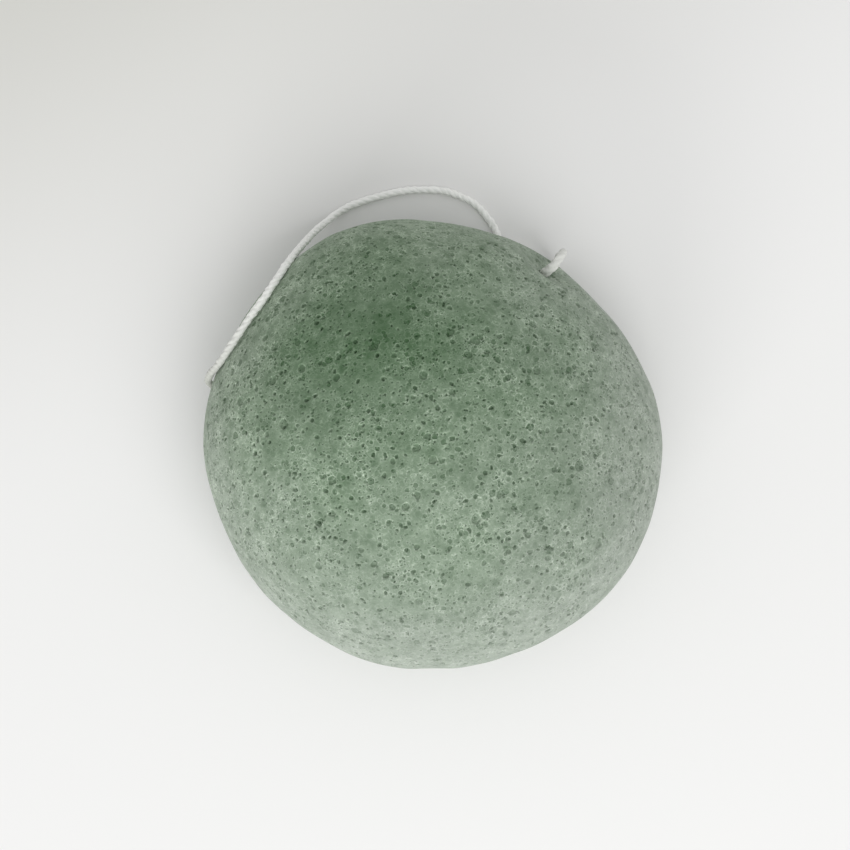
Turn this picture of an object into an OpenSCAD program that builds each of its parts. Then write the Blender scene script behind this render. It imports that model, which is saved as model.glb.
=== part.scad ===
// Konjac sponge: a half ball of plant-fibre foam with a cotton hanging cord
// threaded through it. The flat back lies on z = 0 and the dome points up.

/* [Sponge] */
// Mean width of the half ball across its round outline
body_w = 80; // [72:1:90]
// Height from the flat back to the top of the dome
body_h = 42; // [36:1:50]
// Radius of the rounded edge from the flat back up to the widest ring
rim_round = 12; // [9:1:15]

/* [Cord holes] */
// Turn of the left hole round the outline, in degrees
left_turn = 165; // [160:1:170]
// Climb of the left hole, in degrees, which is negative below the widest ring
left_climb = -18; // [-24:1:-12]
// Turn of the right hole round the outline, in degrees
right_turn = 57; // [50:1:64]
// Climb of the right hole from the widest ring towards the top, in degrees
right_climb = 16; // [12:0.5:20]
// How deep the cord pulls the foam in at each hole
dimple_depth = 1.6; // [0.8:0.1:2.4]
// How far from each hole its dimple runs out
dimple_reach = 6.5; // [5:0.5:8]

/* [Cord] */
// Thickness of the twisted cotton cord
cord_d = 1.2; // [0.8:0.1:1.3]
// Clearance between the cord and the wall of its tunnel
tunnel_gap = 0.1; // [0.05:0.05:0.3]

/* [Hidden] */

foam_green = [0.46, 0.54, 0.46];
cotton_white = [0.94, 0.93, 0.89];

// The moulded outline is not a true circle: each lobe swells it this many
// times round, by this share of its radius, with a crest at this turn.
lobe_counts = [2, 3, 4, 5, 6, 7];
lobe_shares = [0.021, 0.011, 0.005, 0.004, 0.003, 0.004];
lobe_crests = [-35, -9, 4, 35, 3, 15];

// Facets of the foam skin round its outline, up its rim and up its dome
skin_sides = 120;
rim_rows = 8;
dome_rows = 20;

// Facets round the cord, and extra rings between the points of the knot
cord_sides = 8;
knot_rings = 2;

// How far the tunnel's cutter runs on past each mouth
tunnel_overrun = 3;
tunnel_facets = 32;

// Middle of the foam's widest ring, which the dimples are pulled towards
core = [0, 0, rim_round];

// Radius of the outline at a turn
function outline_r(turn) =
    body_w / 2 * (1 + lobe_shares * [for (i = [0 : len(lobe_counts) - 1])
        cos(lobe_counts[i] * (turn - lobe_crests[i]))]);

function polar(r, turn, z) = [r * cos(turn), r * sin(turn), z];

// Skin before the dimples: a quarter round below the widest ring, where the
// climb is negative, and an elliptical dome above it
function plain_skin(turn, climb) = climb < 0
    ? polar(outline_r(turn) - rim_round * (1 - cos(climb)), turn,
            rim_round * (1 + sin(climb)))
    : polar(outline_r(turn) * cos(climb), turn,
            rim_round + (body_h - rim_round) * sin(climb));

left_mark = plain_skin(left_turn, left_climb);
right_mark = plain_skin(right_turn, right_climb);

// Share of a dimple's depth left at a point
function pull_share(p, mark) =
    pow(1 - pow(min(1, norm(p - mark) / dimple_reach), 2), 2);

function pulled_in(p) = p + unit(core - p) * dimple_depth
    * (pull_share(p, left_mark) + pull_share(p, right_mark));

function skin(turn, climb) = pulled_in(plain_skin(turn, climb));

// Bottom of each dimple, where the cord goes into the foam
left_mouth = skin(left_turn, left_climb);
right_mouth = skin(right_turn, right_climb);
tunnel_way = unit(right_mouth - left_mouth);

// Place given by its turn, how far past the outline it is there, and its height
function rim_place(p) = polar(outline_r(p[0]) + p[1], p[0], p[2]);

// Middle of the knot, which lies under the rounded rim, and the turn of its
// long axis
knot_middle = rim_place([65.8, -1.7, 1.45]);
knot_turn = -45;

// Half of one strand of the reef knot, from where it comes in to the end of
// its bight: along, across and up, each in shares of the cord's thickness
knot_half_shares = [
    [-3.50, 0.60, 0.12], [-2.50, 0.57, 0.60], [-1.70, 0.57, 0.25],
    [-0.90, 0.76, -0.40], [0, 1.18, -0.65], [0.90, 1.62, -0.40],
    [1.55, 1.75, 0.05], [2.10, 1.42, 0.42], [2.45, 0.80, 0.62],
    [2.60, 0, 0.62]];

knot_along = polar(1, knot_turn, 0);
knot_across = polar(1, knot_turn + 90, 0);

function in_knot(share) = knot_middle + cord_d
    * (share.x * knot_along + share.y * knot_across + [0, 0, share.z]);

// Both legs of a bight: the half strand, then its mirror image back again
bight_shares = concat(knot_half_shares,
    [for (i = [len(knot_half_shares) - 2 : -1 : 0]) let (s = knot_half_shares[i])
        [s.x, -s.y, s.z]]);

knot_loop_path = smooth([for (s = bight_shares) in_knot(s)], knot_rings);
knot_return_path =
    smooth([for (s = bight_shares) in_knot([-s.x, s.y, -s.z])], knot_rings);

// Free stretch from the left hole, up over the widest ring, along the dome's
// shoulder, down to the surface that the sponge lies on and back under the rim
// to the knot: turn, distance past the outline, and height
loop_places = [
    [165, -1.2, 8.4], [164.9, -0.1, 8.8], [164.5, 0.8, 9.8], [163.9, 1.1, 11.4],
    [162.9, 0.9, 13.6], [161.6, 0.4, 16.2], [159.9, -0.3, 18.5],
    [157.5, -0.9, 20.3], [154.7, -1.3, 21.5], [151.5, -1.6, 22.2],
    [148, -1.8, 22.6], [144.2, -1.9, 22.8], [140.6, -2, 22.9],
    [137.4, -1.9, 22.7], [134.4, -1.6, 22.1], [131.6, -1.2, 21],
    [129, -0.6, 19.5], [126.6, 0, 17.4], [124.4, 0.7, 14.6], [122.2, 1.5, 11.5],
    [119.9, 2.4, 8.3], [117.4, 3.3, 5.1], [114.9, 4.1, 2.6], [112, 5, 1.1],
    [108.5, 5.6, 0.7], [104.5, 6, 0.65], [100, 6.5, 0.65], [95.6, 7, 0.65],
    [91.5, 7.2, 0.65], [88, 7.3, 0.65], [85, 7, 0.65], [82.2, 6.5, 0.65],
    [79.7, 5.8, 0.65], [77.4, 4.7, 0.65], [75.3, 3.5, 0.65], [73.6, 2.4, 0.7],
    [72.4, 1.5, 1]];
loop_route = concat([left_mouth], [for (p = loop_places) rim_place(p)],
                    [knot_loop_path[0]]);

// Short stretch out of the right hole, over the dome's shoulder, down past the
// rim and back under it to the knot, in the same terms
return_places = [
    [56.7, -2.6, 20.7], [56.3, -1.9, 21.5], [56, -1, 21.9], [55.9, 0, 21.9],
    [55.8, 0.9, 21.4], [55.8, 1.6, 20.5], [55.8, 2, 19.1], [55.8, 2.2, 17.4],
    [55.8, 2.3, 15.5], [55.8, 2.35, 13.5], [55.8, 2.4, 11.4], [55.9, 2.6, 9.2],
    [56, 2.7, 6.4], [55.9, 2.6, 4.1],
    [55.6, 2.1, 2.3], [55, 1.3, 1.3], [54.6, 0.1, 0.8], [55.3, -1.1, 0.7],
    [56.8, -1.9, 0.7], [58.3, -2.2, 1]];
return_route = concat([right_mouth], [for (p = return_places) rim_place(p)],
                      [knot_return_path[0]]);

// The cut ends past the knot, which lie under the rim
tail_left_places = [[73.9, -0.8, 1.2], [75.9, -0.8, 0.85], [78.2, -0.9, 0.7],
                    [80.8, -1, 0.65], [83.3, -1.1, 0.65]];
tail_right_places = [[57.8, -3.6, 1], [55.5, -3.4, 0.75], [52.9, -3.2, 0.65],
                     [50.1, -3, 0.65], [47.4, -2.9, 0.65]];
tail_left_route = concat([knot_loop_path[len(knot_loop_path) - 1]],
                         [for (p = tail_left_places) rim_place(p)]);
tail_right_route = concat([knot_return_path[len(knot_return_path) - 1]],
                          [for (p = tail_right_places) rim_place(p)]);

function unit(v) = v / norm(v);

// Point between two points of a path, on a smooth curve through all of them
function between(path, i, t) =
    let (a = path[max(i - 1, 0)], b = path[i], c = path[i + 1],
         d = path[min(i + 2, len(path) - 1)])
    b + t * (c - a) / 2 + pow(t, 2) * (2 * a - 5 * b + 4 * c - d) / 2
        + pow(t, 3) * (3 * b - a - 3 * c + d) / 2;

// Path with each of its steps cut into equal parts
function smooth(path, parts) = concat(
    [for (i = [0 : len(path) - 2], k = [0 : parts - 1]) between(path, i, k / parts)],
    [path[len(path) - 1]]);

// Directions along a path, with those of its two ends given
function headings(path, first, last) = [for (i = [0 : len(path) - 1])
    i == 0 ? first : i == len(path) - 1 ? last
    : unit(unit(path[i + 1] - path[i]) + unit(path[i] - path[i - 1]))];

function square_to(v, way) = unit(v - way * (v * way));

// Side vectors carried along the headings without twisting
function sides_along(ways) = [for (
    i = 0, side = square_to([0.6, 0, 0.8], ways[0]);
    i < len(ways);
    i = i + 1, side = i < len(ways) ? square_to(side, ways[i]) : side) side];

// Round bar along a path, its end faces square to first and last
module strand(path, first, last) {
    ways = headings(path, first, last);
    sides = sides_along(ways);
    n = cord_sides;
    points = [for (i = [0 : len(path) - 1], k = [0 : n - 1])
        let (a = 360 * (k + 0.5) / n)
        path[i] + cord_d / 2 * (cos(a) * sides[i] + sin(a) * cross(ways[i], sides[i]))];
    walls = [for (i = [0 : len(path) - 2], k = [0 : n - 1])
        let (m = (k + 1) % n)
        each [[i * n + k, (i + 1) * n + k, i * n + m],
              [i * n + m, (i + 1) * n + k, (i + 1) * n + m]]];
    top = (len(path) - 1) * n;
    color(cotton_white)
        polyhedron(points, concat(walls,
            [[for (k = [0 : n - 1]) k]],
            [[for (k = [n - 1 : -1 : 0]) top + k]]));
}

// Foam half ball as one skin, with rows from the flat back up to the pole
module foam_skin() {
    climbs = concat([for (i = [0 : rim_rows - 1]) -90 + 90 * i / rim_rows],
                    [for (i = [0 : dome_rows - 1]) 90 * i / dome_rows]);
    n = skin_sides;
    points = concat([for (climb = climbs, k = [0 : n - 1]) skin(360 * k / n, climb)],
                    [skin(0, 90)]);
    pole = len(points) - 1;
    walls = [for (i = [0 : len(climbs) - 2], k = [0 : n - 1])
        let (m = (k + 1) % n)
        each [[i * n + k, (i + 1) * n + k, i * n + m],
              [i * n + m, (i + 1) * n + k, (i + 1) * n + m]]];
    last = (len(climbs) - 1) * n;
    cap = [for (k = [0 : n - 1]) [last + k, pole, last + (k + 1) % n]];
    polyhedron(points, concat(walls, cap, [[for (k = [0 : n - 1]) k]]));
}

// Round bar from the left mouth to the right one, longer by extra at each end
module through_foam(d, extra) {
    way = right_mouth - left_mouth;
    translate(left_mouth)
        rotate([0, acos(way.z / norm(way)), atan2(way.y, way.x)])
            translate([0, 0, -extra])
                cylinder(h = norm(way) + 2 * extra, d = d, $fn = tunnel_facets);
}

module sponge_body() {
    color(foam_green)
        difference() {
            foam_skin();
            through_foam(cord_d + 2 * tunnel_gap, tunnel_overrun);
        }
}

module cord_in_tunnel() {
    color(cotton_white) through_foam(cord_d, 0);
}

module cord_loop() {
    strand(loop_route, -tunnel_way, knot_along);
}

module cord_return() {
    strand(return_route, tunnel_way, -knot_along);
}

module knot_loop_end() {
    strand(knot_loop_path, knot_along, -knot_along);
}

module knot_return_end() {
    strand(knot_return_path, -knot_along, knot_along);
}

module tail_left() {
    strand(tail_left_route, -knot_along, [-1, 0, 0]);
}

module tail_right() {
    strand(tail_right_route, knot_along, unit([0.8, -0.6, 0]));
}

// Least gap between the two strands of the knot
echo(knot_gap = min([for (p = knot_loop_path, q = knot_return_path) norm(p - q)])
    - cord_d);

sponge_body();
cord_in_tunnel();
cord_loop();
cord_return();
knot_loop_end();
knot_return_end();
tail_left();
tail_right();
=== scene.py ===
"""A konjac sponge: a half ball of open-pore foam with a twisted cotton hanging cord.

Lengths are in metres in the CAD model's frame, where the flat back lies on
z = 0 and the dome points up. The smooth skin and the cord's routes are those
of the CAD model. The pores, the cord's twist and its fibres are added here.
"""

import bpy
import numpy as np
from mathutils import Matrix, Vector


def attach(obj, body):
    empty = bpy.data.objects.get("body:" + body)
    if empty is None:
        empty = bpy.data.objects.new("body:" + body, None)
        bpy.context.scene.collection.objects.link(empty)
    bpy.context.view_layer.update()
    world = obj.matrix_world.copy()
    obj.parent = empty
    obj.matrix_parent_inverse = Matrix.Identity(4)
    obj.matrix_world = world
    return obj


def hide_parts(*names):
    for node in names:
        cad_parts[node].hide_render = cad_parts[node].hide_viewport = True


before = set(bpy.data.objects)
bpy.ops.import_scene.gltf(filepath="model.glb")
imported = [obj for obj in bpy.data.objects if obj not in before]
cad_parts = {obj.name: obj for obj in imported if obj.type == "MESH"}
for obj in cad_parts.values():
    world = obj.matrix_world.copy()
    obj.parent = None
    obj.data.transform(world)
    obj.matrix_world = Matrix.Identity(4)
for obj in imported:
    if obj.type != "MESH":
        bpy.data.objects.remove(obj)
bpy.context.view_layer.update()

MM = 0.001

# The camera

VIEW_CENTRE = (-1.18 * MM, 3.64 * MM)
VIEW_HEIGHT = 312 * MM
VIEW_NEAR, VIEW_FAR = 10 * MM, 20_000 * MM
LENS = 71.36  # the camera's focal length and its sensor's width, in millimetres
SENSOR = 36.0


def make_camera():
    """The camera looks straight down on the dome, with +Y at the top."""
    data = bpy.data.cameras.new("camera")
    data.lens = LENS
    data.sensor_width = SENSOR
    data.clip_start, data.clip_end = VIEW_NEAR, VIEW_FAR
    camera = bpy.data.objects.new("camera", data)
    camera.location = (*VIEW_CENTRE, VIEW_HEIGHT)
    bpy.context.scene.collection.objects.link(camera)
    bpy.context.scene.camera = camera


make_camera()

# The foam's smooth skin, as in the CAD model

BODY_W = 80 * MM
BODY_H = 42 * MM
RIM_ROUND = 12 * MM
# The outline's lobes: how many there are round it, how far each sort reaches
# as a share of the radius, and the turn of its crest
LOBE_COUNTS = np.array([2, 3, 4, 5, 6, 7])
LOBE_SHARES = np.array([0.021, 0.011, 0.005, 0.004, 0.003, 0.004])
LOBE_CRESTS = np.radians([-35, -9, 4, 35, 3, 15])
HOLE_TURNS = np.radians([165, 57])  # of the cord's left and right hole
HOLE_CLIMBS = np.radians([-18, 16])
DIMPLE_DEPTH = 1.6 * MM
DIMPLE_REACH = 6.5 * MM
CORE = np.array([0, 0, RIM_ROUND])  # towards which the dimples are pulled


def unit(vectors):
    """Each vector divided by its length."""
    return vectors / np.linalg.norm(vectors, axis=-1, keepdims=True)


def outline_radius(turn):
    """Half the body's width, swollen by the sum of its lobes' cosines."""
    lobes = np.cos(LOBE_COUNTS * (turn[..., None] - LOBE_CRESTS)) @ LOBE_SHARES
    return BODY_W / 2 * (1 + lobes)


def plain_skin(turn, climb):
    """Quarter round below the widest ring, where the climb is negative, and
    an elliptical dome above it."""
    wide = outline_radius(turn)
    low = climb < 0
    out = np.where(low, wide - RIM_ROUND * (1 - np.cos(climb)), wide * np.cos(climb))
    high = RIM_ROUND + np.where(low, RIM_ROUND, BODY_H - RIM_ROUND) * np.sin(climb)
    return np.stack([out * np.cos(turn), out * np.sin(turn), high], -1)


MARKS = plain_skin(HOLE_TURNS, HOLE_CLIMBS)


def pulled_in(points):
    """Points near each cord hole move towards the core by the dimple's depth
    times (1 - (distance / reach)^2)^2."""
    pull = 0
    for mark in MARKS:
        away = np.linalg.norm(points - mark, axis=-1) / DIMPLE_REACH
        pull = pull + (1 - np.minimum(1, away) ** 2) ** 2
    return points + unit(CORE - points) * (DIMPLE_DEPTH * pull)[..., None]


LEFT_MOUTH, RIGHT_MOUTH = pulled_in(MARKS)

# The cord's route, as in the CAD model

CORD_D = 1.2 * MM


def rim_places(rows):
    """Places given by their turn in degrees, how far past the outline they
    are there, and their height, both in millimetres."""
    turn = np.radians(rows[:, 0])
    out = outline_radius(turn) + rows[:, 1] * MM
    return np.stack([out * np.cos(turn), out * np.sin(turn), rows[:, 2] * MM], 1)


KNOT_MIDDLE = rim_places(np.array([[65.8, -1.7, 1.45]]))[0]
KNOT_TURN = np.radians(-45)
KNOT_AXES = np.array([
    [np.cos(KNOT_TURN), np.sin(KNOT_TURN), 0],
    [-np.sin(KNOT_TURN), np.cos(KNOT_TURN), 0],
    [0, 0, 1],
])
KNOT_HALF_SHARES = np.array([
    [-3.50, 0.60, 0.12], [-2.50, 0.57, 0.60], [-1.70, 0.57, 0.25],
    [-0.90, 0.76, -0.40], [0, 1.18, -0.65], [0.90, 1.62, -0.40],
    [1.55, 1.75, 0.05], [2.10, 1.42, 0.42], [2.45, 0.80, 0.62],
    [2.60, 0, 0.62],
])
LOOP_ROUTE = rim_places(np.array([
    [165, -1.2, 8.4], [164.9, -0.1, 8.8], [164.5, 0.8, 9.8], [163.9, 1.1, 11.4],
    [162.9, 0.9, 13.6], [161.6, 0.4, 16.2], [159.9, -0.3, 18.5],
    [157.5, -0.9, 20.3], [154.7, -1.3, 21.5], [151.5, -1.6, 22.2],
    [148, -1.8, 22.6], [144.2, -1.9, 22.8], [140.6, -2, 22.9],
    [137.4, -1.9, 22.7], [134.4, -1.6, 22.1], [131.6, -1.2, 21],
    [129, -0.6, 19.5], [126.6, 0, 17.4], [124.4, 0.7, 14.6], [122.2, 1.5, 11.5],
    [119.9, 2.4, 8.3], [117.4, 3.3, 5.1], [114.9, 4.1, 2.6], [112, 5, 1.1],
    [108.5, 5.6, 0.7], [104.5, 6, 0.65], [100, 6.5, 0.65], [95.6, 7, 0.65],
    [91.5, 7.2, 0.65], [88, 7.3, 0.65], [85, 7, 0.65], [82.2, 6.5, 0.65],
    [79.7, 5.8, 0.65], [77.4, 4.7, 0.65], [75.3, 3.5, 0.65], [73.6, 2.4, 0.7],
    [72.4, 1.5, 1],
]))
RETURN_ROUTE = rim_places(np.array([
    [56.7, -2.6, 20.7], [56.3, -1.9, 21.5], [56, -1, 21.9], [55.9, 0, 21.9],
    [55.8, 0.9, 21.4], [55.8, 1.6, 20.5], [55.8, 2, 19.1], [55.8, 2.2, 17.4],
    [55.8, 2.3, 15.5], [55.8, 2.35, 13.5], [55.8, 2.4, 11.4], [55.9, 2.6, 9.2],
    [56, 2.7, 6.4], [55.9, 2.6, 4.1],
    [55.6, 2.1, 2.3], [55, 1.3, 1.3], [54.6, 0.1, 0.8], [55.3, -1.1, 0.7],
    [56.8, -1.9, 0.7], [58.3, -2.2, 1],
]))
LEFT_TAIL_ROUTE = rim_places(np.array([
    [73.9, -0.8, 1.2], [75.9, -0.8, 0.85], [78.2, -0.9, 0.7], [80.8, -1, 0.65],
    [83.3, -1.1, 0.65],
]))
RIGHT_TAIL_ROUTE = rim_places(np.array([
    [57.8, -3.6, 1], [55.5, -3.4, 0.75], [52.9, -3.2, 0.65], [50.1, -3, 0.65],
    [47.4, -2.9, 0.65],
]))


def bight(flip):
    """Strand of the knot: half of it in shares of the cord's thickness, then
    its mirror image back. With a flip of -1 it is turned end for end and over,
    as the other strand is."""
    half = KNOT_HALF_SHARES * np.array([flip, 1, flip])
    there_and_back = np.vstack([half, (half * [1, -1, 1])[-2::-1]])
    return KNOT_MIDDLE + CORD_D * there_and_back @ KNOT_AXES


# Waves and noise, for the cord and the foam

WAVE_PITCHES = np.array([1.0, 0.61, 0.37])  # of a wave's three sines, as shares of its pitch
WAVE_SHARES = np.array([0.5, 0.3, 0.2])
CELL_SHIFT = 100000  # keeps every cell's whole-number place above zero
CELL_MIXERS = np.array([73856093, 19349663, 83492791], np.uint64)
SEED_MIXER = 2654435761
BIT_MIXER = np.uint64(0xFF51AFD7ED558CCD)


def ramp(values, low, high):
    """0 below low, 1 above high, and smooth between: 3t^2 - 2t^3 for the share
    t of the way from low to high."""
    t = np.clip((values - low) / (high - low), 0, 1)
    return t * t * (3 - 2 * t)


def wander(along, reach, pitch, seed):
    """Smooth wave that never quite repeats and stays within its reach on
    either side: the sum of three sines whose wavelengths are near the pitch."""
    phases = np.random.default_rng(seed).uniform(0, 2 * np.pi, 3)
    turns = 2 * np.pi * along[:, None] / (pitch * WAVE_PITCHES)
    return reach * (np.sin(turns + phases) @ WAVE_SHARES)


def scattered(cells, seed):
    """Five even random numbers from 0 to 1 for each cell of a lattice, mixed
    from the bits of its whole-number place."""
    keys = (cells + CELL_SHIFT).astype(np.uint64) * CELL_MIXERS
    mixed = keys[:, 0] ^ keys[:, 1] ^ keys[:, 2] ^ np.uint64(seed * SEED_MIXER)
    numbers = []
    for _ in range(5):
        mixed = (mixed ^ (mixed >> np.uint64(33))) * BIT_MIXER
        mixed = mixed ^ (mixed >> np.uint64(29))
        numbers.append((mixed >> np.uint64(40)).astype(float) / 2**24)
    return np.stack(numbers, 1)


def soft_noise(points, size, seed):
    """Smooth noise from -1 to 1: random numbers at the corners of cells of
    the given size, blended smoothly across each cell."""
    scaled = points / size
    cell = np.floor(scaled)
    t = ramp(scaled - cell, 0, 1)
    total = 0
    for corner in np.ndindex(2, 2, 2):
        weight = np.prod(np.where(corner, t, 1 - t), axis=1)
        total = total + weight * scattered(cell + corner, seed)[:, 0]
    return 2 * total - 1


# Meshes from arrays


def make_mesh(name, points, loops, sizes, smooth=True):
    """Mesh object from arrays: its points, and its faces' corners one after
    another, with how many corners each face has."""
    mesh = bpy.data.meshes.new(name)
    mesh.vertices.add(len(points))
    mesh.vertices.foreach_set("co", points.astype(np.float32).ravel())
    mesh.loops.add(len(loops))
    mesh.loops.foreach_set("vertex_index", loops.astype(np.int32))
    mesh.polygons.add(len(sizes))
    starts = np.concatenate([[0], np.cumsum(sizes)[:-1]])
    mesh.polygons.foreach_set("loop_start", starts.astype(np.int32))
    mesh.update(calc_edges=True)
    mesh.validate()
    mesh.polygons.foreach_set("use_smooth", np.full(len(mesh.polygons), smooth))
    made = bpy.data.objects.new(name, mesh)
    bpy.context.scene.collection.objects.link(made)
    return made


def keep_on(made, **values):
    """Stores arrays on a mesh's points: numbers, or three of them each."""
    for name, value in values.items():
        kind = "FLOAT" if value.ndim == 1 else "FLOAT_VECTOR"
        field = "value" if value.ndim == 1 else "vector"
        stored = made.data.attributes.new(name, kind, "POINT")
        stored.data.foreach_set(field, value.astype(np.float32).ravel())


def tube_faces(rings, sides):
    """Corners of a tube's faces: quads between rings, and a fan of triangles
    to a middle point at each end. The middle points come last."""
    ring, side = np.meshgrid(np.arange(rings - 1), np.arange(sides), indexing="ij")
    after = (side + 1) % sides
    quads = np.stack(
        [
            ring * sides + side,
            ring * sides + after,
            (ring + 1) * sides + after,
            (ring + 1) * sides + side,
        ],
        -1,
    ).reshape(-1, 4)
    edge, last = np.arange(sides), (rings - 1) * sides
    after = (edge + 1) % sides
    first_fan = np.stack([np.full(sides, rings * sides), after, edge], -1)
    last_fan = np.stack([np.full(sides, rings * sides + 1), last + edge, last + after], -1)
    fans = np.vstack([first_fan, last_fan])
    loops = np.concatenate([quads.ravel(), fans.ravel()])
    return loops, np.concatenate([np.full(len(quads), 4), np.full(len(fans), 3)])


# The cord

CURVE_PARTS = 40  # into which the curve between two points of a route is cut
CORD_STEP = 0.1 * MM
FIRST_SIDE = np.array([0.6, 0.0, 0.8])  # put square to the cord before it is used
PLIES = 3
PLY_R = 0.49 * MM
PLY_OUT = 0.18 * MM  # from the cord's middle to a ply's: the soft plies flatten each other
CORD_SIDES = 12 * PLIES
TWIST_PITCH = 4.3 * MM

# Waves along the cord: how far each reaches, its pitch and its seed. The
# first two reach shares of the width, and the twist's reaches radians
SWELL_WAVE = (0.05, 9 * MM, 11)
KNOB_WAVE = (0.04, 2.1 * MM, 14)
TWIST_WAVE = (0.5, 17 * MM, 12)
STRAY_WAVE = (0.04 * MM, 13 * MM, 13)

FLUFF_SIZE = 0.45 * MM  # of the small lumps of the loosely spun fibres
FLUFF_REACH = 0.07 * MM
FLUFF_SEED = 21
FRAY_LENGTH = 1.6 * MM
FRAY_SWELL = 0.4
PRESSED_SWELL = 0.28  # the cord is wider just outside the right hole, which grips it
PRESSED_FROM, PRESSED_TO = 1 * MM, 9 * MM
# Painted shade: the cord is greyer for a length from each hole
HOLE_SHADE = {"cotton_cord_loop": 1.0, "cotton_cord_return": 0.5}  # share of painted shade at the stretch's hole
HOLE_SHADE_LENGTH = 38 * MM


class Run:
    """The centreline of a length of cord: a smooth cubic curve through its
    points, whose slope at each is half the way from the point before to the
    point after, cut into even steps. A side direction is carried along it
    without twisting. cuts are the steps where one stretch ends and the next
    begins."""

    def __init__(self, points, joints=()):
        ends = np.vstack([points[:1], points, points[-1:]])
        a, b, c, d = (ends[i : len(ends) - 3 + i, None] for i in range(4))
        t = (np.arange(CURVE_PARTS) / CURVE_PARTS)[:, None]
        curve = (
            b
            + t * (c - a) / 2
            + t**2 * (2 * a - 5 * b + 4 * c - d) / 2
            + t**3 * (3 * b - a - 3 * c + d) / 2
        )
        curve = np.vstack([curve.reshape(-1, 3), points[-1:]])
        gaps = np.linalg.norm(np.diff(curve, axis=0), axis=1)
        far = np.concatenate([[0], np.cumsum(gaps)])
        count = int(round(far[-1] / CORD_STEP)) + 1
        self.along = np.linspace(0, far[-1], count)
        middle = [np.interp(self.along, far, curve[:, i]) for i in range(3)]
        self.middle = np.stack(middle, 1)
        self.way = unit(np.gradient(self.middle, axis=0))
        self.side = np.empty_like(self.way)
        side = FIRST_SIDE
        for i, way in enumerate(self.way):
            side = unit(side - way * (side @ way))
            self.side[i] = side
        cuts = np.searchsorted(self.along, far[np.array(joints, int) * CURVE_PARTS])
        self.cuts = [0, *cuts, count - 1]

    def stretch(self, number):
        """The steps of one stretch, which shares its last with the next."""
        return slice(self.cuts[number], self.cuts[number + 1] + 1)


def ply_outline():
    """Angles round the cord, and how far out its round plies reach at each:
    offset * cos(a) + sqrt(r^2 - (offset * sin(a))^2) at angle a from the
    nearest ply."""
    angle = np.arange(CORD_SIDES) * 2 * np.pi / CORD_SIDES
    off = (angle + np.pi / PLIES) % (2 * np.pi / PLIES) - np.pi / PLIES
    out = PLY_OUT * np.cos(off) + np.sqrt(PLY_R**2 - (PLY_OUT * np.sin(off)) ** 2)
    return angle, out


def cord_swell(name, along):
    """Width of the cord at each step as a share of the usual one. It swells
    and shrinks a little, the return is wider near its hole, and the cut ends
    open like a brush."""
    swell = 1 + wander(along, *SWELL_WAVE) + wander(along, *KNOB_WAVE)
    if name == "cotton_cord_return":
        swell = swell + PRESSED_SWELL * (1 - ramp(along, PRESSED_FROM, PRESSED_TO))
    if "tail" in name:
        open_share = np.clip(1 - (along[-1] - along) / FRAY_LENGTH, 0, 1)
        swell = swell + FRAY_SWELL * open_share**2
    return swell


def twisted_cord(name, run, number):
    """One stretch of the cord: the plies' outline, swollen and turned steadily
    along a centreline that strays a little to one side and the other. Small
    lumps of fibre roughen it, and the table presses its lowest points flat."""
    steps = run.stretch(number)
    along, side = run.along[steps], run.side[steps]
    up = np.cross(run.way[steps], side)
    angle, out = ply_outline()
    turn = 2 * np.pi * along / TWIST_PITCH + wander(along, *TWIST_WAVE)
    around = turn[:, None] + angle
    sideways = np.cos(around)[..., None] * side[:, None]
    upwards = np.sin(around)[..., None] * up[:, None]
    spoke = sideways + upwards
    middle = run.middle[steps] + wander(along, *STRAY_WAVE)[:, None] * up
    wide = out * cord_swell(name, along)[:, None]
    points = middle[:, None] + wide[..., None] * spoke
    fluff = soft_noise(points.reshape(-1, 3), FLUFF_SIZE, FLUFF_SEED).reshape(around.shape)
    points = points + (FLUFF_REACH * fluff)[..., None] * spoke
    points[..., 2] = np.maximum(points[..., 2], 0)
    points = np.vstack([points.reshape(-1, 3), middle[[0, -1]]])
    made = make_mesh(name, points, *tube_faces(len(along), CORD_SIDES))

    place = np.broadcast_arrays(out * np.cos(angle), out * np.sin(angle), along[:, None])
    place = np.stack(place, -1).reshape(-1, 3)
    top = np.broadcast_to((out - out.min()) / np.ptp(out), around.shape)
    damp = HOLE_SHADE.get(name, 0) * (1 - ramp(along, 0, HOLE_SHADE_LENGTH))
    keep_on(
        made,
        cord_place=np.vstack([place, np.zeros((2, 3))]) / MM,
        ply_top=np.concatenate([top.ravel(), [1, 1]]),
        damp=np.concatenate([np.repeat(damp, CORD_SIDES), damp[[0, -1]]]),
    )
    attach(made, "root")
    return made


def end_run(mouth, route, flip, tail_route):
    """One end of the cord: from its mouth along its route, through the knot
    and on to the cut end."""
    strand = bight(flip)
    first = len(route) + 1
    points = np.vstack([mouth, route, strand, tail_route])
    return Run(points, (first, first + len(strand) - 1))


left_run = end_run(LEFT_MOUTH, LOOP_ROUTE, 1, LEFT_TAIL_ROUTE)
right_run = end_run(RIGHT_MOUTH, RETURN_ROUTE, -1, RIGHT_TAIL_ROUTE)
tunnel_run = Run(np.array([LEFT_MOUTH, RIGHT_MOUTH]))

cords = {}
for node, run, number in (
    ("cord_loop", left_run, 0),
    ("knot_loop_end", left_run, 1),
    ("tail_left", left_run, 2),
    ("cord_return", right_run, 0),
    ("knot_return_end", right_run, 1),
    ("tail_right", right_run, 2),
    ("cord_in_tunnel", tunnel_run, 0),
):
    cords[node] = twisted_cord("cotton_" + node, run, number)
    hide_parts(node)

for node, run, mouth, others in (
    ("cord_loop", left_run, LEFT_MOUTH, ("knot_loop_end", "tail_left")),
    ("cord_return", right_run, RIGHT_MOUTH, ("knot_return_end", "tail_right")),
):
    centreline = run.middle[run.stretch(0)]

# The foam

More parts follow.
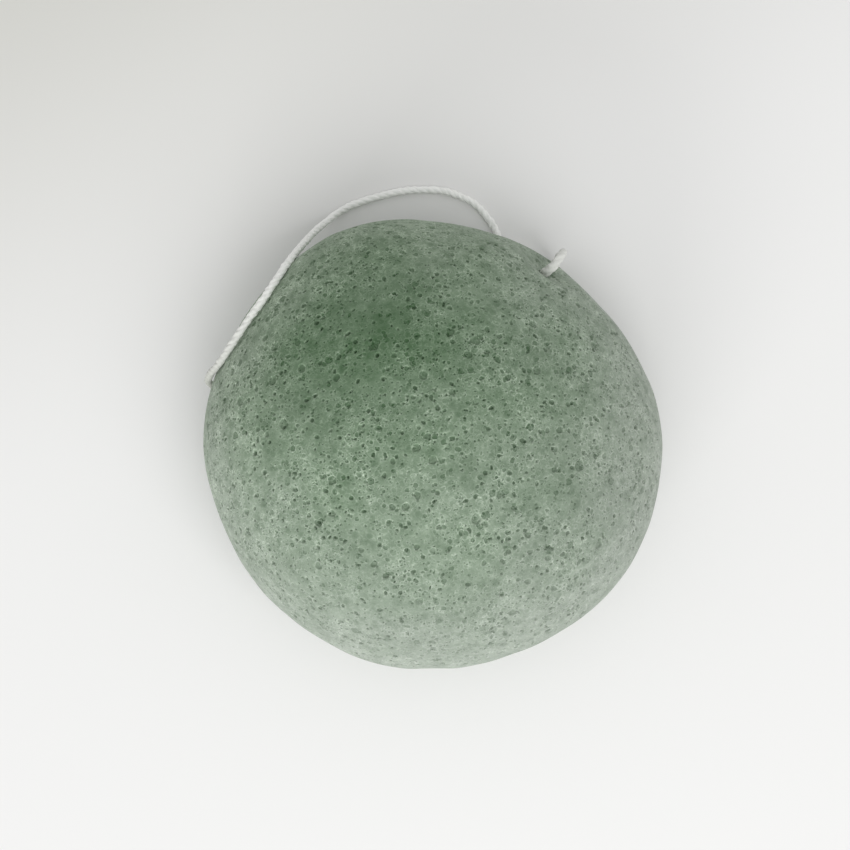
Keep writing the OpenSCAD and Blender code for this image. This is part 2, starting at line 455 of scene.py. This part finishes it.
GRID = 300  # quads along each edge of the cube that the foam's grid comes from
SHEET_MARGIN = 0.008  # left round each of the cube's faces in the map, as a share of the face
PROFILE_STEPS = 400
SLANT = np.array([0.31, 0.52, 0.79])  # lies along none of the grid's directions
NUDGE = 2e-4  # of a direction, to see which way the skin faces there

# Soft lumps of the skin: how far each sort reaches and its size, both in
# millimetres, and its seed
LUMPS = ((0.30, 11, 1), (0.14, 4.5, 2))
LUMP_RISE = 5 * MM  # height over the flat back where the lumps are full

# Bubbles of each sort: name of the distance kept for the finish, size of the
# lattice's cells, least and greatest radius, share of the cells that hold one,
# and how deep the open ones go. Lengths are in millimetres
BUBBLES = (
    ("big_edge", 2.4, 0.42, 0.9, 0.55, 0.3),
    ("mid_edge", 1.15, 0.2, 0.45, 0.7, 0.4),
    ("small_edge", 0.7, 0.12, 0.25, 0.6, 0.3),
)
BUBBLE_SEED = 3  # of the first sort, and one more for each after it
BUBBLE_WALL = 0.06 * MM  # inside a bubble's edge, over which the skin falls to its depth
PATCH_SIZE = 6 * MM  # of the patches where the bubbles crowd
PATCH_EDGE = 0.5  # noise over this is in a patch, and noise under minus this is between them
PATCH_SEED = 9
PATCH_LEAST = 0.6  # share of the usual number of bubbles where they are fewest
BEND_SIZE = 0.9 * MM  # of the waves that put the bubbles out of round
BEND_REACH = 0.28 * MM
BEND_SEEDS = (6, 7, 8)

HOLE_DEPTH = 1.6 * MM
HOLE_FLOOR, HOLE_EDGE = 0.55 * MM, 1.0 * MM  # from the hole's middle

# Painted shade and light: the foam is darkest on the dome's upper left, away from the lamps,
# and paler away from there and towards the rim
SHADED_PLACE = np.array([-12, 22, 30]) * MM  # where the painted shade is deepest, so the foam is darkest and greenest
SHADED_RADIUS = 10 * MM
LIT_REACH = 64 * MM  # from the shaded place's edge to where the painted light is full
LIT_RING = 0.26  # how much more painted light there is at the rim
LIT_RING_FROM, LIT_RING_TO = 12 * MM, 42 * MM  # out from the middle
TONE_SPOTS = 0.1  # how much paler or darker the foam is in random spots
TONE_SPOT_SIZE = 8 * MM
TONE_SPOT_SEED = 15

# Painted light: the foam is paler towards its rim, and more so at the left and the right
RIM_PALE = 0.24
RIM_PALE_SIDES = 0.18  # is added to it at the left and the right
RIM_PALE_FROM, RIM_PALE_TO = 22 * MM, 40 * MM  # out from the middle


def bubbles(points, outward, cell_size, least, most, share, seed):
    """Open bubbles cut by the skin. A share of a lattice's cells, larger in
    some patches than in others, holds one bubble each, at a random place and
    of a random radius. Gives the depth from each point straight in to the far
    side of the deepest bubble round it, out + sqrt(out^2 + radius^2 - far^2)
    for a point that is far from the bubble's middle and out above it. Gives
    the distance to the nearest bubble too, which is negative inside."""
    crowd = ramp(soft_noise(points, PATCH_SIZE, PATCH_SEED), -PATCH_EDGE, PATCH_EDGE)
    share = share * (PATCH_LEAST + 2 * (1 - PATCH_LEAST) * crowd)
    home = np.floor(points / cell_size)
    depth = np.zeros(len(points))
    edge = np.full(len(points), cell_size)
    for step in np.ndindex(3, 3, 3):
        cell = home + step - 1
        luck = scattered(cell, seed)
        away = points - (cell + luck[:, :3]) * cell_size
        radius = least + (most - least) * luck[:, 3] ** 2
        far = np.linalg.norm(away, axis=1)
        there = luck[:, 4] < share
        edge = np.where(there, np.minimum(edge, far - radius), edge)
        out = np.einsum("ij,ij->i", away, outward)
        reach = out + np.sqrt(np.maximum(out**2 + radius**2 - far**2, 0))
        depth = np.where(there & (far < radius), np.maximum(depth, reach), depth)
    return depth, edge


CLIMBS = np.linspace(np.pi / 2, 0, PROFILE_STEPS)
DOME_OUTS = BODY_W / 2 * np.diff(np.cos(CLIMBS))
DOME_DROPS = (BODY_H - RIM_ROUND) * np.diff(np.sin(CLIMBS))
DOME_FALLS = np.concatenate([[0], np.cumsum(np.hypot(DOME_OUTS, DOME_DROPS))])
RIM_LENGTH = RIM_ROUND * np.pi / 2
BACK_LENGTH = BODY_W / 2 - RIM_ROUND
PROFILE_LENGTH = DOME_FALLS[-1] + RIM_LENGTH + BACK_LENGTH


def smooth_skin(ways):
    """Point of the smooth skin for each direction from the middle. It keeps
    the direction's turn, and the direction's angle from the top, as a share
    of half a turn, is the share of the way down the profile: over the dome,
    round the rim and in over the flat back."""
    turn = np.arctan2(ways[:, 1], ways[:, 0])
    fall = np.arccos(np.clip(ways[:, 2], -1, 1)) / np.pi * PROFILE_LENGTH
    climb = np.interp(fall, DOME_FALLS, CLIMBS)
    below = np.clip((fall - DOME_FALLS[-1]) / RIM_LENGTH, 0, 1)
    points = plain_skin(turn, np.where(below > 0, -below * np.pi / 2, climb))
    left = np.clip((PROFILE_LENGTH - fall) / BACK_LENGTH, 0, 1)
    points[:, :2] *= np.where(below >= 1, left, 1)[:, None]
    return pulled_in(points)


def cube_grid(count):
    """Grid of quads over a cube, its edges shared: each point's direction
    from the middle, the quads' corners, which turn outwards, and the corners'
    places in a map of three faces by two. tan() of even angles keeps the
    quads nearly alike once they are on a ball."""
    i, j = np.meshgrid(np.arange(count + 1), np.arange(count + 1), indexing="ij")
    spread = SHEET_MARGIN + (1 - 2 * SHEET_MARGIN) * np.stack([i, j], -1) / count
    places, quads, sheets = [], [], []
    for face in range(6):
        axis, far = face % 3, face // 3
        place = np.zeros((count + 1, count + 1, 3), np.int64)
        place[..., axis] = far * count
        place[..., (axis + 1) % 3] = i if far else j
        place[..., (axis + 2) % 3] = j if far else i
        index = face * (count + 1) ** 2 + i * (count + 1) + j
        quad = np.stack([index[:-1, :-1], index[1:, :-1], index[1:, 1:], index[:-1, 1:]], -1)
        places.append(place.reshape(-1, 3))
        quads.append(quad.reshape(-1, 4))
        sheets.append(((spread + (axis, far)) / (3, 2)).reshape(-1, 2))
    places, quads, sheets = np.vstack(places), np.vstack(quads), np.vstack(sheets)
    key = places @ np.array([1, count + 1, (count + 1) ** 2])
    _, first, shared = np.unique(key, return_index=True, return_inverse=True)
    ways = unit(np.tan((places[first] / count - 0.5) * np.pi / 2))
    return ways, shared.reshape(-1)[quads], sheets[quads]


def hole_depth(skin):
    """Depth of the cord's holes at each point: the full depth on a hole's
    floor, and a smooth fall to nothing at its edge."""
    depth = 0
    for mouth in (LEFT_MOUTH, RIGHT_MOUTH):
        away = np.linalg.norm(skin - mouth, axis=1)
        depth = depth + HOLE_DEPTH * (1 - ramp(away, HOLE_FLOOR, HOLE_EDGE))
    return depth


def dryness(skin):
    """How much painted light the foam has, from 0 to 1: the sum of the distance past the shaded
    place's radius over the reach, a ring that rises towards the rim, and soft spots of random
    tone. Low values are painted shade and high ones painted light."""
    away = np.linalg.norm(skin - SHADED_PLACE, axis=1) - SHADED_RADIUS
    out = np.hypot(skin[:, 0], skin[:, 1])
    ring = LIT_RING * ramp(out, LIT_RING_FROM, LIT_RING_TO)
    spots = TONE_SPOTS * soft_noise(skin, TONE_SPOT_SIZE, TONE_SPOT_SEED)
    return np.clip(np.maximum(away, 0) / LIT_REACH + ring + spots, 0, 1)


def rim_paleness(skin):
    """Painted light: how much paler the foam gets towards its rim, and a little more so at the
    left and the right, by the square of the turn's cosine."""
    out = np.hypot(skin[:, 0], skin[:, 1])
    cosine = skin[:, 0] / np.maximum(out, MM)
    return ramp(out, RIM_PALE_FROM, RIM_PALE_TO) * (RIM_PALE + RIM_PALE_SIDES * cosine**2)


def make_foam():
    """The foam body: the smooth skin with soft lumps, cut by three sorts of
    bubbles and by the cord's holes, each point moved straight in. What the
    finish needs to know of a point is kept on it."""
    ways, quads, sheet = cube_grid(GRID)
    side = unit(np.cross(ways, SLANT))
    ahead = smooth_skin(unit(ways + NUDGE * side))
    aside = smooth_skin(unit(ways + NUDGE * np.cross(ways, side)))
    skin = smooth_skin(ways)
    outward = unit(np.cross(ahead - skin, aside - skin))
    raised = ramp(skin[:, 2], 0.0, LUMP_RISE)
    lumps = sum(reach * soft_noise(skin, size * MM, seed) for reach, size, seed in LUMPS)
    skin = skin + outward * (lumps * raised * MM)[:, None]

    bends = [soft_noise(skin, BEND_SIZE, seed) for seed in BEND_SEEDS]
    points = skin + BEND_REACH * np.stack(bends, 1)
    edges, depth = {}, 0
    for seed, (name, cell_size, least, most, share, deepest) in enumerate(BUBBLES, BUBBLE_SEED):
        cell_size, least, most = cell_size * MM, least * MM, most * MM
        reach, edge = bubbles(points, outward, cell_size, least, most, share, seed)
        reach = np.minimum(reach, deepest * MM) * ramp(-edge, 0, BUBBLE_WALL)
        points = points - outward * reach[:, None]
        depth = depth + reach
        edges[name] = edge / MM
    depth = np.maximum(depth, hole_depth(skin))
    points = skin - outward * depth[:, None]
    made = make_mesh("konjac_foam_body", points, quads.ravel(), np.full(len(quads), 4))
    keep_on(
        made,
        **edges,
        depth=depth / MM,
        dry=dryness(skin),
        rim=rim_paleness(skin),
    )
    chart = made.data.uv_layers.new(name="OFBake")
    chart.data.foreach_set("uv", sheet.astype(np.float32).ravel())
    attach(made, "root")
    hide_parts("sponge_body")
    return made


foam = make_foam()

# How finishes are made


def linear(red, green, blue):
    """A colour as a screen shows it, from 0 to 255, in linear light. A share v
    of 255 becomes v / 12.92 up to 0.04045, and ((v + 0.055) / 1.055)^2.4
    above it."""
    share = np.array([red, green, blue]) / 255
    low = share <= 0.04045
    return (*np.where(low, share / 12.92, ((share + 0.055) / 1.055) ** 2.4), 1.0)


class Amount:
    """What comes out of a node. An operator on amounts adds its Math node."""

    def __init__(self, nodes, socket):
        self.nodes, self.socket = nodes, socket

    def math(self, operation, first, second=0.0):
        return self.nodes.node("Math", {"operation": operation}, {0: first, 1: second})

    def __add__(self, other):
        return self.math("ADD", self, other)

    def __sub__(self, other):
        return self.math("SUBTRACT", self, other)

    def __rsub__(self, other):
        return self.math("SUBTRACT", other, self)

    def size(self):
        return self.math("ABSOLUTE", self)

    def __mul__(self, other):
        return self.math("MULTIPLY", self, other)

    __radd__, __rmul__ = __add__, __mul__


class Nodes:
    """The nodes of a material or of the sky, being added."""

    def __init__(self, tree):
        self.tree = tree

    def node(self, kind, settings=(), sockets=(), out=0):
        """Adds a node of a kind, first with its settings, then with the
        values or links of its sockets, and gives one of its outputs."""
        made = self.tree.nodes.new("ShaderNode" + kind)
        for name, value in dict(settings).items():
            setattr(made, name, value)
        for name, value in dict(sockets).items():
            self.feed(made.inputs[name], value)
        return Amount(self, made.outputs[out])

    def feed(self, socket, value):
        """Links an amount to a socket, or sets the socket to a number or a
        colour."""
        if isinstance(value, Amount):
            self.tree.links.new(value.socket, socket)
        else:
            socket.default_value = value


class Finish(Nodes):
    """A material being made, from its name and the numbers and colours that
    are the same all over it."""

    def __init__(self, name, **constants):
        self.material = bpy.data.materials.new(name)
        self.material.use_nodes = True
        super().__init__(self.material.node_tree)
        self.shader = self.tree.nodes["Principled BSDF"]
        for socket, value in constants.items():
            self.feed(self.shader.inputs[socket.replace("_", " ")], value)

    def stored(self, name, out="Fac"):
        """What keep_on stored under a name."""
        return self.node("Attribute", {"attribute_name": name}, out=out)

    def noise(self, place, size_mm, detail=2.0, rough=0.5, out="Fac"):
        """Smooth noise from 0 to 1 with spots of about the given size."""
        sockets = {
            "Vector": place,
            "Scale": 1 / (size_mm * MM),
            "Detail": detail,
            "Roughness": rough,
        }
        return self.node("TexNoise", sockets=sockets, out=out)

    def cells(self, place, size_mm):
        """Distance from the middle of the nearest cell, in cells of about the
        given size, and two random numbers from 0 to 1 for that cell."""
        sockets = {"Vector": place, "Scale": 1 / (size_mm * MM)}
        away = self.node("TexVoronoi", sockets=sockets)
        luck = self.node("TexVoronoi", sockets=sockets, out="Color")
        split = [self.node("SeparateColor", sockets={"Color": luck}, out=n) for n in (0, 1)]
        return (away, *split)

    def ramp(self, value, low, high):
        """0 below low, 1 above high, and smooth between."""
        sockets = {"Value": value, "From Min": low, "From Max": high}
        return self.node("MapRange", {"interpolation_type": "SMOOTHSTEP"}, sockets)

    def blend(self, share, first, second):
        """The colour a share of the way from the first to the second."""
        return self.node("Mix", {"data_type": "RGBA"}, {0: share, 6: first, 7: second}, out=2)

    def finish(self, colour, height, strength, roughness=None):
        """Links the colour, the bump from a height in metres, and the
        roughness if it varies."""
        self.feed(self.shader.inputs["Base Color"], colour)
        sockets = {"Height": height, "Distance": 1.0, "Strength": strength}
        bump = self.node("Bump", sockets=sockets, out="Normal")
        self.feed(self.shader.inputs["Normal"], bump)
        if roughness is not None:
            self.feed(self.shader.inputs["Roughness"], roughness)
        return self.material


def varied(amount, reach):
    """A factor from 1 - reach to 1 + reach, as an amount goes from 0 to 1."""
    return (1 - reach) + 2 * reach * amount


# The foam's finish

# Painted shade and light: the darker, greener pair of colours is for the painted shade and the
# greyer pair for the painted light
SHADED_DARK, SHADED_LIGHT = linear(34, 76, 31), linear(190, 212, 184)
LIT_DARK, LIT_LIGHT = linear(68, 86, 66), linear(208, 215, 205)
SHADED_TONE = 0.148  # the tone is 0 at the dark colour and 1 at the light one
LIT_TONE_RISE = 0.142
LIT_TONE_AT = 0.4  # how much painted light there is where the tone has risen in full
LIT_HAZE = 0.55  # how much fainter the cells and pores are where the painted light is full, as a painted haze

# Mottling, from large to fine: size of the spots in millimetres, detail and
# roughness of the noise, and how far it varies the tone
LARGE_SPOTS, LARGE_REACH = (12, 2, 0.5), 0.2
BLOB_SPOTS, BLOB_REACH = (2.4, 2, 0.5), 0.8
SPECK_SPOTS, SPECK_REACH = (0.9, 3, 0.65), 0.17
FINE_SPOTS, FINE_REACH = (0.35, 2, 0.6), 0.2

# A pair in brackets, from here on, is where a smooth step starts and ends
CROWD_SIZE = 6  # in millimetres, of the patches where the cells crowd
CROWD_EDGE = (0.35, 0.65)
CURL_SIZE = 0.8  # in millimetres, of the waves that put the cells out of round
CURL_REACH = 0.55 * MM

# Cells under the skin, of each sort: their size in millimetres, the share that shows, and the
# share that is much darker inside, the pits, whose darkness is painted shade
HIDDEN_CELLS = ((1.8, 0.9, 0.12), (1.15, 0.9, 0.28), (0.66, 0.8, 0.55))
CELL_RADIUS, CELL_RADIUS_RISE = 0.24, 0.22  # shares of the size, the second times luck
CROWD_CHANCE = 0.3  # what share of the cells shows only where they crowd
SHARE_EDGE = 0.02
RING_WIDTH = 0.1  # in millimetres
# PIT_DARK is painted shade: the pits stand for small holes
RING_PALE, INSIDE_DARK, PIT_DARK = 0.5, 0.2, 0.5
LONE_PALE = 0.45  # how clear the pale rings and walls are where the cells are few

DEEP_CELLS = 2.2  # in millimetres
DEEP_EDGE, DEEP_LUCK, DEEP_SHOWN = (0.1, 0.35), 0.15, (0.35, 0.45)
DEEP_DARK = 0.25
WEB_CELLS = 1.0  # in millimetres
WEB_EDGE = (0.02, 0.1)
WEB_PALE = 0.28

# Pores of each sort: name of the distance from their edge, how much darker they are inside,
# which is painted shade, and how much paler their lip is
PORES = (("big_edge", 0.28, 0.4), ("mid_edge", 0.4, 0.4), ("small_edge", 0.5, 0.2))
PORE_EDGE = (-0.1, 0.02)  # millimetres from the pore's edge, as for its lip
LIP_RISE, LIP_FALL = (-0.02, 0.04), (0.08, 0.2)
DEPTH_EDGE = (0.1, 0.9)  # millimetres deep
# Painted shade in deep pores
DEPTH_DARK = 0.35

# Painted highlights: small wet glints put into the colour
GLINT_CELLS = 0.7  # in millimetres
GLINT_EDGE, GLINT_SHOWN = (0.08, 0.2), (0.965, 0.975)
GLINT_PALE = 0.35

WALL_HEIGHT, GRAIN_HEIGHT, PIT_DEPTH = 0.06 * MM, 0.08 * MM, 0.12 * MM
FOAM_ROUGHNESS, ROUGHNESS_RISE, ROUGHNESS_SIZE = 0.42, 0.25, 1.4


def hidden_cells(f, place, crowd):
    """Cells under the skin: their rings, each a narrow band on the cell's radius, their
    insides, and the insides of the pits, the much darker ones, whose darkness is painted shade.
    Each cell's radius and whether it shows are random, and more show where
    they crowd."""
    rings, insides, pits = 0, 0, 0
    for cell_size, ring_share, pit_share in HIDDEN_CELLS:
        away, luck, chance = f.cells(place, cell_size)
        chance = chance - CROWD_CHANCE * (crowd - 0.5)
        radius = CELL_RADIUS + CELL_RADIUS_RISE * luck
        width = RING_WIDTH / cell_size
        ring = 1 - f.ramp((away - radius).size(), 0.25 * width, width)
        inside = 1 - f.ramp(away - radius, -2 * width, 0.0)
        shown = 1 - f.ramp(chance, ring_share - SHARE_EDGE, ring_share)
        pitted = 1 - f.ramp(chance, pit_share - SHARE_EDGE, pit_share)
        rings = rings + ring * shown
        insides = insides + inside * shown
        pits = pits + inside * pitted
    return rings, insides, pits


def deep_cells(f, place):
    """Large cells deeper down, which show as soft spots with no edge."""
    away, luck, chance = f.cells(place, DEEP_CELLS)
    return (1 - f.ramp(away - DEEP_LUCK * luck, *DEEP_EDGE)) * f.ramp(chance, *DEEP_SHOWN)


def wall_web(f, place):
    """Faint curly net of cell walls: 1 on the walls, where two cells meet."""
    sockets = {"Vector": place, "Scale": 1 / (WEB_CELLS * MM)}
    wall = f.node("TexVoronoi", {"feature": "DISTANCE_TO_EDGE"}, sockets)
    return 1 - f.ramp(wall, *WEB_EDGE)


def open_pores(f, clear):
    """Factor for the pores that are cut by the skin: painted shade inside them, darker still
    where they are deep, and paler on the lip just outside the edge."""
    cut, lips = 1, 0
    for name, dark, lip in PORES:
        edge = f.stored(name)
        cut = cut * (1 - dark * clear * (1 - f.ramp(edge, *PORE_EDGE)))
        lips = lips + lip * f.ramp(edge, *LIP_RISE) * (1 - f.ramp(edge, *LIP_FALL))
    shade = 1 - DEPTH_DARK * f.ramp(f.stored("depth"), *DEPTH_EDGE)
    return cut * shade * (1 + lips * clear)


def wet_glints(f, place, crowd):
    """A few small wet glints, painted highlights in the colour, in the middle of one cell in
    thirty or so where the cells crowd."""
    away, _, chance = f.cells(place, GLINT_CELLS)
    return (1 - f.ramp(away, *GLINT_EDGE)) * f.ramp(chance, *GLINT_SHOWN) * crowd


def foam_finish():
    """Grey-green konjac foam with painted shade and light: darker and greener where the painted
    shade is, greyer and paler where the painted light is. Its tone, from dark to pale, is a
    product: soft mottling, pores darkened by painted shade, and the paler rims of the pores and
    of the cells that lie under the skin."""
    f = Finish(
        "konjac_foam",
        Subsurface_Weight=0.2,
        Subsurface_Radius=(1.0, 1.2, 0.9),
        Subsurface_Scale=0.4 * MM,
        Specular_IOR_Level=0.22,
    )
    place = f.node("TexCoord", out="Object")
    curl = f.noise(place, CURL_SIZE, 1.0, out="Color")
    sockets = {0: curl, 1: (CURL_REACH,) * 3, 2: place}
    curled = f.node("VectorMath", {"operation": "MULTIPLY_ADD"}, sockets)
    crowd = f.ramp(f.noise(place, CROWD_SIZE), *CROWD_EDGE)
    dry = f.stored("dry")
    # clear is less where the painted light is full: a painted haze that makes the cells and
    # pores fainter
    clear = 1 - LIT_HAZE * dry
    fine = f.noise(place, *FINE_SPOTS)

    tone = SHADED_TONE + LIT_TONE_RISE * f.ramp(dry, 0.0, LIT_TONE_AT)
    tone = tone * varied(f.noise(place, *LARGE_SPOTS), LARGE_REACH)
    tone = tone * varied(f.noise(place, *BLOB_SPOTS), BLOB_REACH * clear)
    tone = tone * varied(f.noise(place, *SPECK_SPOTS), SPECK_REACH)
    tone = tone * varied(fine, FINE_REACH) * (1 + f.stored("rim"))

    rings, insides, pits = hidden_cells(f, curled, crowd)
    pale = RING_PALE * rings + WEB_PALE * wall_web(f, curled)
    pale = pale * (LONE_PALE + (1 - LONE_PALE) * crowd) * clear
    tone = tone * (1 + pale) * (1 - INSIDE_DARK * insides * clear)
    tone = tone * (1 - PIT_DARK * pits * clear) * (1 - DEEP_DARK * deep_cells(f, curled))
    tone = tone * open_pores(f, clear) + GLINT_PALE * wet_glints(f, place, crowd)

    dark = f.blend(dry, SHADED_DARK, LIT_DARK)
    light = f.blend(dry, SHADED_LIGHT, LIT_LIGHT)
    height = pale * WALL_HEIGHT + fine * GRAIN_HEIGHT - pits * PIT_DEPTH
    roughness = FOAM_ROUGHNESS + ROUGHNESS_RISE * f.noise(place, ROUGHNESS_SIZE)
    return f.finish(f.blend(tone, dark, light), height, strength=0.8, roughness=roughness)


# The cord's finish

PALE_COTTON, WHITE_COTTON = linear(247, 248, 244), linear(252, 253, 250)
# GROOVE_COTTON is painted shade in the grooves between the plies
GROOVE_COTTON = linear(190, 192, 184)
# Colour of the painted shade on the cord near the holes
SHADED_COTTON = linear(174, 176, 168)
FIBRE_STRETCH = (1.0, 1.0, 0.12)  # the fibres are long along the cord
FIBRES_PER_MM = 14.0
PATCHES_PER_MM = 0.35
GROOVE_DARK = 0.12
GROOVE_TOP = 0.75  # share of the way up to a ply's top where its groove's painted shade ends
FIBRE_EDGE = (0.35, 0.65)
FIBRE_PALE = 0.35
FIBRE_HEIGHT = 0.05 * MM


def cotton_finish():
    """White spun cotton: fine fibres along each ply, darker in the grooves and greyer near the
    holes, both painted shade."""
    f = Finish(
        "cotton_cord",
        Roughness=0.85,
        Specular_IOR_Level=0.25,
        Sheen_Weight=0.25,
        Sheen_Roughness=0.5,
        Subsurface_Weight=0.15,
        Subsurface_Radius=(1.0, 1.0, 1.0),
        Subsurface_Scale=0.3 * MM,
    )
    place = f.stored("cord_place", "Vector")
    drawn = f.node("VectorMath", {"operation": "MULTIPLY"}, {0: place, 1: FIBRE_STRETCH})
    sockets = {"Vector": drawn, "Scale": FIBRES_PER_MM, "Detail": 3.0, "Roughness": 0.6}
    fibres = f.node("TexNoise", sockets=sockets)
    sockets = {"Vector": place, "Scale": PATCHES_PER_MM, "Detail": 1.0}
    patches = f.node("TexNoise", sockets=sockets)
    groove = 1 - f.ramp(f.stored("ply_top"), 0.0, GROOVE_TOP)
    colour = f.blend(patches, PALE_COTTON, WHITE_COTTON)
    colour = f.blend(groove * GROOVE_DARK, colour, GROOVE_COTTON)
    colour = f.blend(f.ramp(fibres, *FIBRE_EDGE) * FIBRE_PALE, colour, WHITE_COTTON)
    colour = f.blend(f.stored("damp"), colour, SHADED_COTTON)
    return f.finish(colour, fibres * FIBRE_HEIGHT, strength=0.9)


foam.data.materials.append(foam_finish())
cotton = cotton_finish()
for piece in cords.values():
    piece.data.materials.append(cotton)
for node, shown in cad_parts.items():
    shown.data.materials.clear()
    shown.data.materials.append(cotton if "cord" in node else foam.data.materials[0])

# The table and the light

FLOOR_REACH = 4.0
# The floor's greying towards the far left is painted shade
FLOOR_NEAR, FLOOR_FAR = linear(231, 231, 230), linear(201, 201, 195)
FAR_FROM, FAR_TO = 20 * MM, 160 * MM  # how far back the painted shade greys the floor
FAR_SLOPE = 0.5  # the more so, the further to the left
LIGHT_COLOUR, SKY_COLOUR = linear(255, 255, 255), linear(238, 238, 236)
LAMP_AIM = Vector((0, 0, 20 * MM))


def make_floor():
    """A plain pale table top, made a little greyer towards the far left side by painted shade.
    """
    corners = np.array([[-1, -1, 0], [1, -1, 0], [1, 1, 0], [-1, 1, 0]]) * FLOOR_REACH
    floor = make_mesh("floor", corners, np.arange(4), np.array([4]), smooth=False)
    f = Finish("floor", Roughness=0.7, Specular_IOR_Level=0.2)
    place = f.node("TexCoord", out="Object")
    across = f.node("SeparateXYZ", sockets={"Vector": place}, out="X")
    away = f.node("SeparateXYZ", sockets={"Vector": place}, out="Y")
    far = f.ramp(away - FAR_SLOPE * across, FAR_FROM, FAR_TO)
    f.feed(f.shader.inputs["Base Color"], f.blend(far, FLOOR_NEAR, FLOOR_FAR))
    floor.data.materials.append(f.material)


def make_lamp(name, place, size, power):
    """A soft square lamp aimed at the middle of the dome."""
    data = bpy.data.lights.new(name, "AREA")
    data.shape, data.size, data.energy = "SQUARE", size, power
    lamp = bpy.data.objects.new(name, data)
    lamp.location = place
    lamp.rotation_euler = (LAMP_AIM - Vector(place)).to_track_quat("-Z", "Y").to_euler()
    bpy.context.scene.collection.objects.link(lamp)


def make_sky(light, seen):
    """Even light from all round. Straight views and mirror views show it in
    its own pale colour."""
    world = bpy.data.worlds.new("sky")
    bpy.context.scene.world = world
    world.use_nodes = True
    sky = Nodes(world.node_tree)
    straight = sky.node("LightPath", out="Is Camera Ray")
    mirrored = sky.node("LightPath", out="Is Glossy Ray")
    either = sky.node("Math", {"operation": "MAXIMUM"}, {0: straight, 1: mirrored})
    even = world.node_tree.nodes["Background"]
    sky.feed(even.inputs["Color"], LIGHT_COLOUR)
    sky.feed(even.inputs["Strength"], light)
    lit = Amount(sky, even.outputs[0])
    shown = sky.node("Background", sockets={"Color": SKY_COLOUR, "Strength": seen})
    mix = sky.node("MixShader", sockets={0: either, 1: lit, 2: shown})
    sky.feed(world.node_tree.nodes["World Output"].inputs["Surface"], mix)


make_floor()
make_lamp("window", place=(0.3, -0.5, 0.8), size=0.8, power=4.4)
make_lamp("low_light", place=(-0.35, -0.9, 0.3), size=0.6, power=5.0)
make_sky(light=0.665, seen=1.0)

bpy.context.scene.view_settings.view_transform = "Standard"
